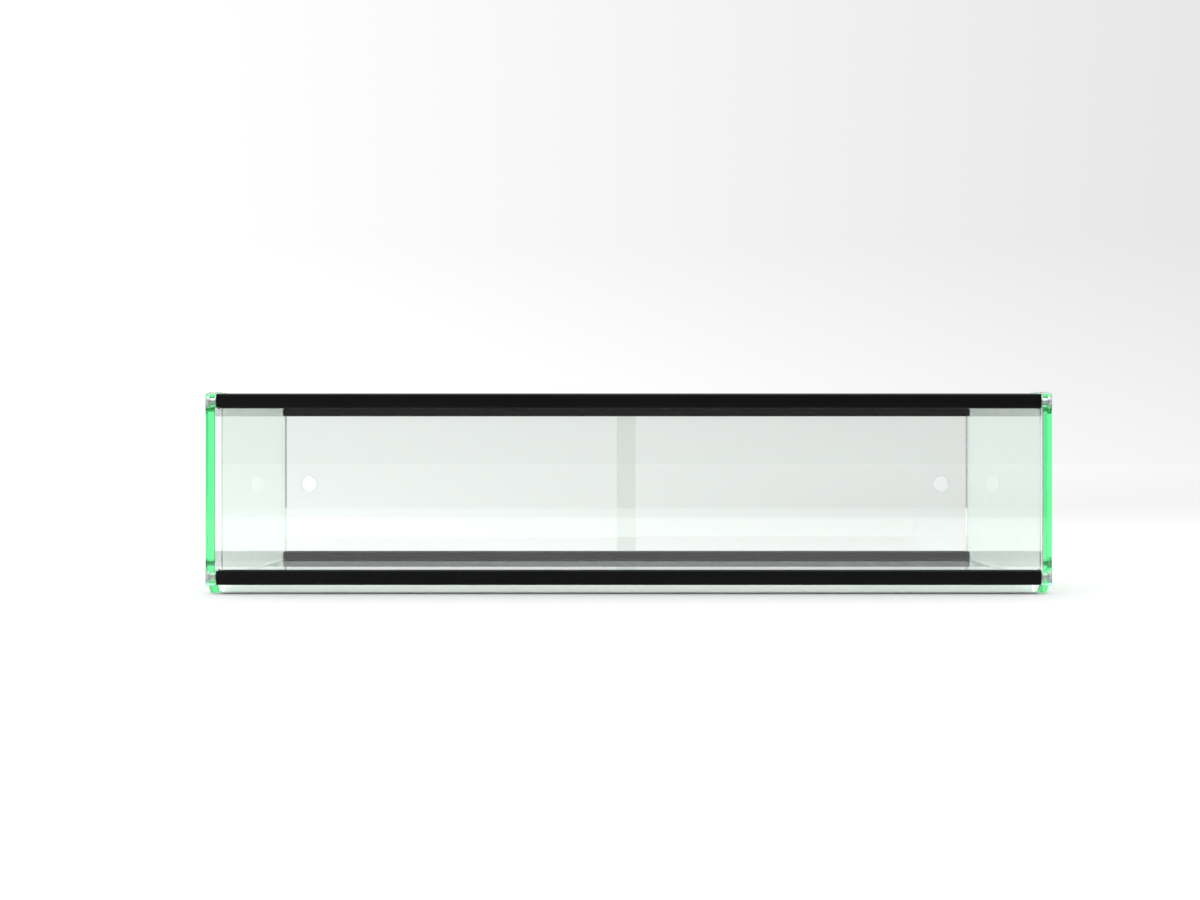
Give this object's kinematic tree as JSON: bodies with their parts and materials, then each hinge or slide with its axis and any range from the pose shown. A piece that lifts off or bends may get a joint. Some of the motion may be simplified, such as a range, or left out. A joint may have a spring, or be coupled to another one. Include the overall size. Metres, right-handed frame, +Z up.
{
  "type": "bakery display case",
  "caption": "Low countertop glass display case with black aluminium rails, green-edged end panels and sliding rear glass doors.",
  "frame": {"origin": "centre of the footprint, on the surface that the feet stand on", "axes": "+Z up, +X along the case to the customer's right, -Y towards the customer, +Y towards the sliding doors"},
  "size_m": [0.9, 0.35, 0.216],
  "materials": {
    "panel_glass": "polished, with vivid green edges",
    "clear_glass": "polished, slight green tint",
    "black_aluminium": "satin black anodised extrusion",
    "bolt_steel": "bright stainless",
    "seal_rubber": "matt black",
    "glide_nylon": "smooth black nylon"
  },
  "bodies": {
    "case": {"side_panel_left": "panel_glass", "side_panel_right": "panel_glass", "front_glass": "clear_glass", "top_glass": "clear_glass", "base_glass": "clear_glass", "rail_front_bottom": "black_aluminium", "rail_front_top": "black_aluminium", "rail_rear_bottom": "black_aluminium", "rail_rear_top": "black_aluminium", "bolt_left_front_bottom": "bolt_steel", "bolt_left_front_top": "bolt_steel", "bolt_left_rear_bottom": "bolt_steel", "bolt_left_rear_top": "bolt_steel", "bolt_right_front_bottom": "bolt_steel", "bolt_right_front_top": "bolt_steel", "bolt_right_rear_bottom": "bolt_steel", "bolt_right_rear_top": "bolt_steel", "washer_left_front_bottom": "bolt_steel", "washer_left_front_top": "bolt_steel", "washer_left_rear_bottom": "bolt_steel", "washer_left_rear_top": "bolt_steel", "washer_right_front_bottom": "bolt_steel", "washer_right_front_top": "bolt_steel", "washer_right_rear_bottom": "bolt_steel", "washer_right_rear_top": "bolt_steel", "seal_front_glass_bottom": "seal_rubber", "seal_front_glass_top": "seal_rubber", "seal_base_glass_front": "seal_rubber", "seal_base_glass_rear": "seal_rubber", "seal_top_glass_front": "seal_rubber", "seal_top_glass_rear": "seal_rubber", "door_glide_inner": "glide_nylon", "door_glide_outer": "glide_nylon"},
    "left_door": {"door_left": "clear_glass"},
    "right_door": {"door_right": "clear_glass"}
  },
  "joints": [
    {"name": "left_door_slide", "type": "slide", "parent": "case", "child": "left_door", "axis": [1, 0, 0], "range_m": [0, 0.426]},
    {"name": "right_door_slide", "type": "slide", "parent": "case", "child": "right_door", "axis": [-1, 0, 0], "range_m": [0, 0.426]}
  ]
}
